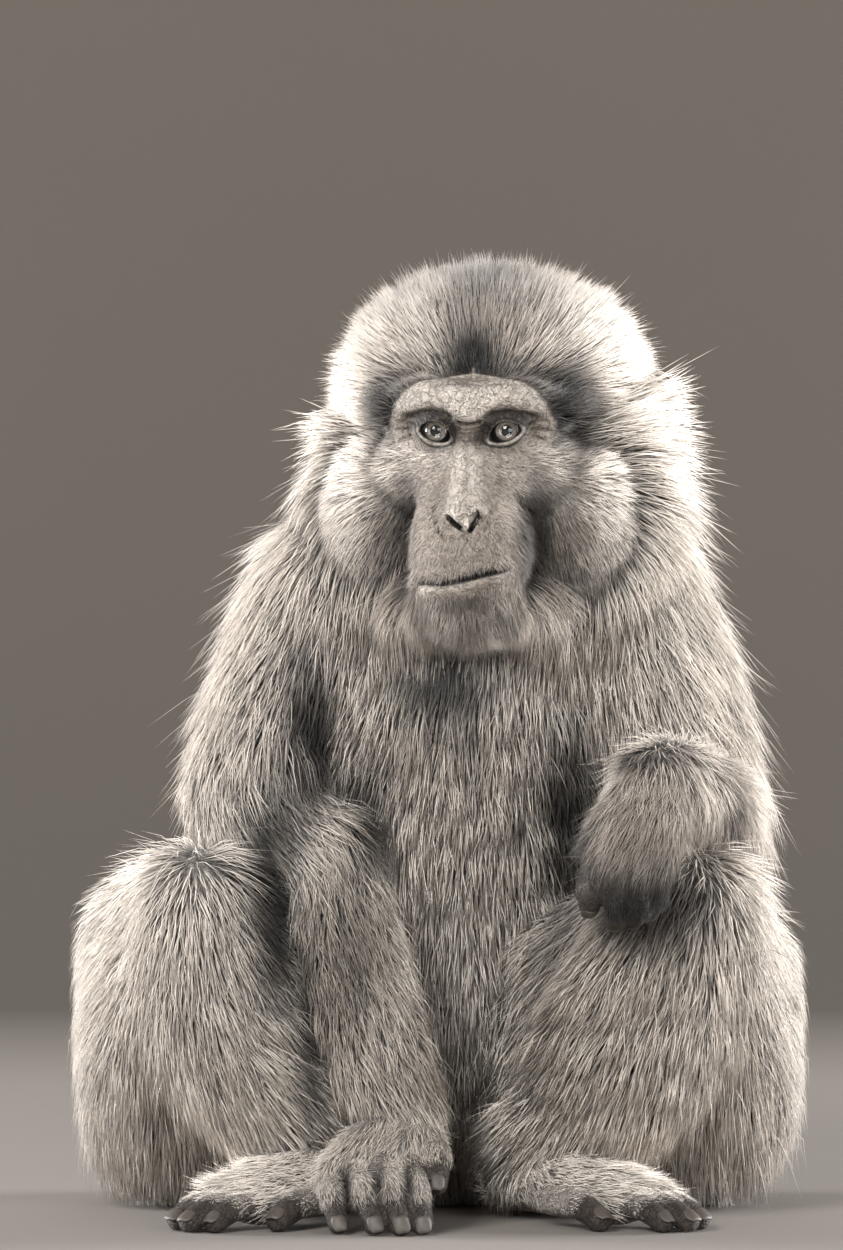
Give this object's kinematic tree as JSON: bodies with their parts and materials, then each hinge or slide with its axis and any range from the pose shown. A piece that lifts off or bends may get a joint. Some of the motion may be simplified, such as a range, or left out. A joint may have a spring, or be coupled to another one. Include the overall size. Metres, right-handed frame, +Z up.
{
  "type": "macaque",
  "caption": "Life-size still model of an adult male macaque sitting on its haunches, knees up, one hand on the ground and the other bent over its knee.",
  "frame": {"origin": "middle of the base, on the floor that the animal sits on", "axes": "+Z is up, the animal faces -Y, and its own left side is +X"},
  "size_m": [0.3648, 0.3604, 0.489],
  "materials": {
    "coat": "long, soft, dull fur in pale warm grey, darker near the skin",
    "skin": "nearly bare, finely wrinkled, satin",
    "eye": "wet, glossy eyeball with a warm brown iris and a small dark pupil"
  },
  "bodies": {
    "root": {"head": "coat", "neck": "coat", "trunk": "coat", "tail": "coat", "ear_right": "skin", "ear_left": "skin", "eye_right": "eye", "eye_left": "eye", "upper_arm_right": "coat", "upper_arm_left": "coat", "forearm_right": "coat", "forearm_left": "coat", "hand_right": "coat", "hand_left": "coat", "thigh_right": "coat", "thigh_left": "coat", "shank_right": "coat", "shank_left": "coat", "foot_right": "coat", "foot_left": "coat"}
  },
  "joints": []
}
